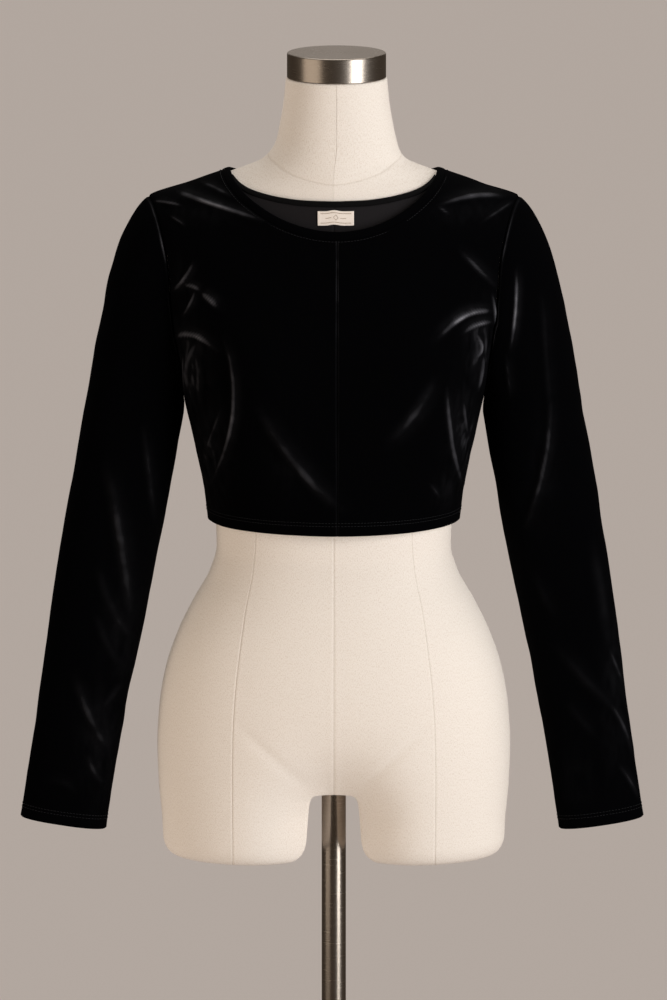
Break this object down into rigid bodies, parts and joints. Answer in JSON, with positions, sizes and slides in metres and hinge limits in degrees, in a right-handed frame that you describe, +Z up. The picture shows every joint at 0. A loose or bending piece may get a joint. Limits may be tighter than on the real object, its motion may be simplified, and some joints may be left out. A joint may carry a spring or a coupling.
{
  "type": "crop top on dress form",
  "caption": "Long-sleeved velvet crop top with a round neck, worn by a limbless linen dress form on a steel pole and round base",
  "frame": {"origin": "on the floor under the pole, in the middle of the round base", "axes": "+Z up, the front of the top faces -Y, +X is the wearer's left"},
  "size_m": [0.64, 0.36, 1.4929],
  "materials": {
    "velvet": "black stretch velvet, short soft pile",
    "inner_cloth": "smooth dark grey knit",
    "binding": "black knit binding, matt",
    "label_cloth": "cream woven tape, plain",
    "linen": "ivory linen stretched over a padded form",
    "steel": "brushed stainless steel"
  },
  "bodies": {
    "root": {"front_left": "velvet", "front_right": "velvet", "back_left": "velvet", "back_right": "velvet", "sleeve_left": "velvet", "sleeve_right": "velvet", "neck_band": "velvet", "inner_left": "inner_cloth", "inner_right": "inner_cloth", "inner_binding": "binding", "label": "label_cloth", "form": "linen", "neck_cap": "steel", "pole": "steel", "base": "steel"}
  },
  "joints": []
}
